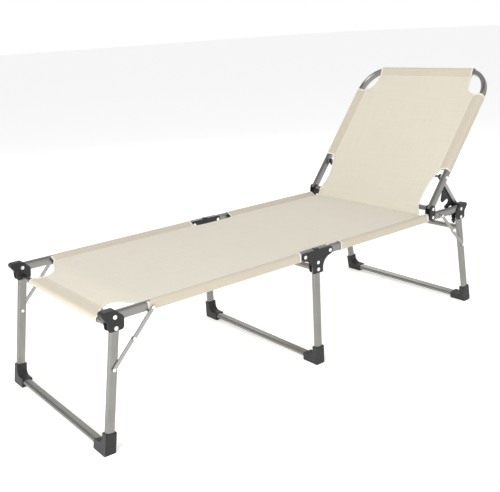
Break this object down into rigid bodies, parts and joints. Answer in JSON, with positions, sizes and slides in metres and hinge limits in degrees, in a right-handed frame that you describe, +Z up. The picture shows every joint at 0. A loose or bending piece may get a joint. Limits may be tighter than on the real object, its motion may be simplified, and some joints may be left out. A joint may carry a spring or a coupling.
{
  "type": "reclining sun lounger",
  "caption": "Folding sun lounger: flat-oval aluminium frame on U-shaped legs, fabric sling, reclining backrest held by a notched prop.",
  "frame": {"origin": "on the floor, midway along the length between the outermost point of the front feet and of the backrest, on the lounger's middle plane", "axes": "+X along the lounger towards the head end, +Y across, +Z up"},
  "size_m": [1.6134, 0.592, 0.8141],
  "materials": {
    "satin_aluminium": "satin anodised",
    "black_plastic": "fine moulded grain",
    "rivet_metal": "bright rivet",
    "sling_fabric": "cream coated mesh weave"
  },
  "bodies": {
    "mid_frame": {"middle_leg_tubes": "satin_aluminium", "middle_floor_tube": "satin_aluminium", "middle_foot_caps": "black_plastic", "hinge_plates_outer": "black_plastic", "hinge_plates_inner": "black_plastic", "hinge_spacers": "black_plastic", "middle_crossbar": "satin_aluminium", "hinge_pivot_rivets": "rivet_metal", "middle_leg_rivets": "rivet_metal"},
    "foot_frame": {"foot_rails": "satin_aluminium", "front_corner_caps": "black_plastic", "front_crossbar": "satin_aluminium", "front_cap_rivets": "rivet_metal", "front_leg_pivots": "rivet_metal", "front_stay_rail_rivets": "rivet_metal", "foot_fabric": "sling_fabric"},
    "front_leg": {"front_leg_tubes": "satin_aluminium", "front_floor_tube": "satin_aluminium", "front_foot_caps": "black_plastic", "front_stay_leg_rivets": "rivet_metal"},
    "front_stay_top": {"front_stay_upper": "satin_aluminium", "front_stay_pins": "rivet_metal"},
    "front_stay_bottom": {"front_stay_lower": "satin_aluminium"},
    "seat_frame": {"seat_rails": "satin_aluminium", "rear_corner_caps": "black_plastic", "rear_cap_rivets": "rivet_metal", "rear_leg_pivots": "rivet_metal", "rear_stay_rail_rivets": "rivet_metal", "backrest_plates_outer": "black_plastic", "backrest_plates_inner": "black_plastic", "backrest_crossbar": "satin_aluminium", "backrest_plate_rivets": "rivet_metal", "backrest_pivots": "rivet_metal", "seat_fabric": "sling_fabric"},
    "rear_leg": {"rear_leg_tubes": "satin_aluminium", "rear_floor_tube": "satin_aluminium", "rear_foot_caps": "black_plastic", "hook_bar": "satin_aluminium", "rear_stay_leg_rivets": "rivet_metal"},
    "rear_stay_top": {"rear_stay_upper": "satin_aluminium", "rear_stay_pins": "rivet_metal"},
    "rear_stay_bottom": {"rear_stay_lower": "satin_aluminium"},
    "backrest": {"backrest_tube": "satin_aluminium", "backrest_fabric": "sling_fabric", "prop_pivots": "rivet_metal"},
    "prop": {"prop_arms": "satin_aluminium", "ratchet_plates": "black_plastic", "prop_clamps": "black_plastic", "prop_rod": "satin_aluminium"}
  },
  "joints": [
    {"name": "foot_section_fold", "type": "hinge", "parent": "mid_frame", "child": "foot_frame", "pos_m": [-0.11599, 0, 0.354], "axis": [0, -1, 0], "range_deg": [0, 82]},
    {"name": "seat_section_fold", "type": "hinge", "parent": "mid_frame", "child": "seat_frame", "pos_m": [-0.01599, 0, 0.354], "axis": [0, 1, 0], "range_deg": [0, 82]},
    {"name": "front_leg_fold", "type": "hinge", "parent": "foot_frame", "child": "front_leg", "pos_m": [-0.73699, 0, 0.3255], "axis": [0, -1, 0], "range_deg": [0, 96]},
    {"name": "rear_leg_fold", "type": "hinge", "parent": "seat_frame", "child": "rear_leg", "pos_m": [0.62001, 0, 0.3255], "axis": [0, 1, 0], "range_deg": [0, 96]},
    {"name": "backrest_recline", "type": "hinge", "parent": "seat_frame", "child": "backrest", "pos_m": [0.46601, 0, 0.3825], "axis": [0, -1, 0], "range_deg": [-50, 124]},
    {"name": "prop_swing", "type": "hinge", "parent": "backrest", "child": "prop", "pos_m": [0.53989, 0, 0.47706], "axis": [0, -1, 0], "range_deg": [-20, 90]},
    {"name": "front_stay_top_turn", "type": "hinge", "parent": "foot_frame", "child": "front_stay_top", "pos_m": [-0.63099, 0, 0.35], "axis": [0, -1, 0], "range_deg": [0, 124]},
    {"name": "front_stay_bottom_turn", "type": "hinge", "parent": "front_leg", "child": "front_stay_bottom", "pos_m": [-0.75433, 0, 0.22093], "axis": [0, -1, 0], "range_deg": [-133.5, 0]},
    {"name": "rear_stay_top_turn", "type": "hinge", "parent": "seat_frame", "child": "rear_stay_top", "pos_m": [0.51401, 0, 0.35], "axis": [0, 1, 0], "range_deg": [0, 124]},
    {"name": "rear_stay_bottom_turn", "type": "hinge", "parent": "rear_leg", "child": "rear_stay_bottom", "pos_m": [0.63736, 0, 0.22093], "axis": [0, 1, 0], "range_deg": [-133.5, 0]}
  ],
  "couplings": [
    {"joint": "front_stay_top_turn", "follows": "front_leg_fold", "ratio": 1.2855},
    {"joint": "front_stay_bottom_turn", "follows": "front_leg_fold", "ratio": -1.3824},
    {"joint": "rear_stay_top_turn", "follows": "rear_leg_fold", "ratio": 1.2855},
    {"joint": "rear_stay_bottom_turn", "follows": "rear_leg_fold", "ratio": -1.3824}
  ]
}
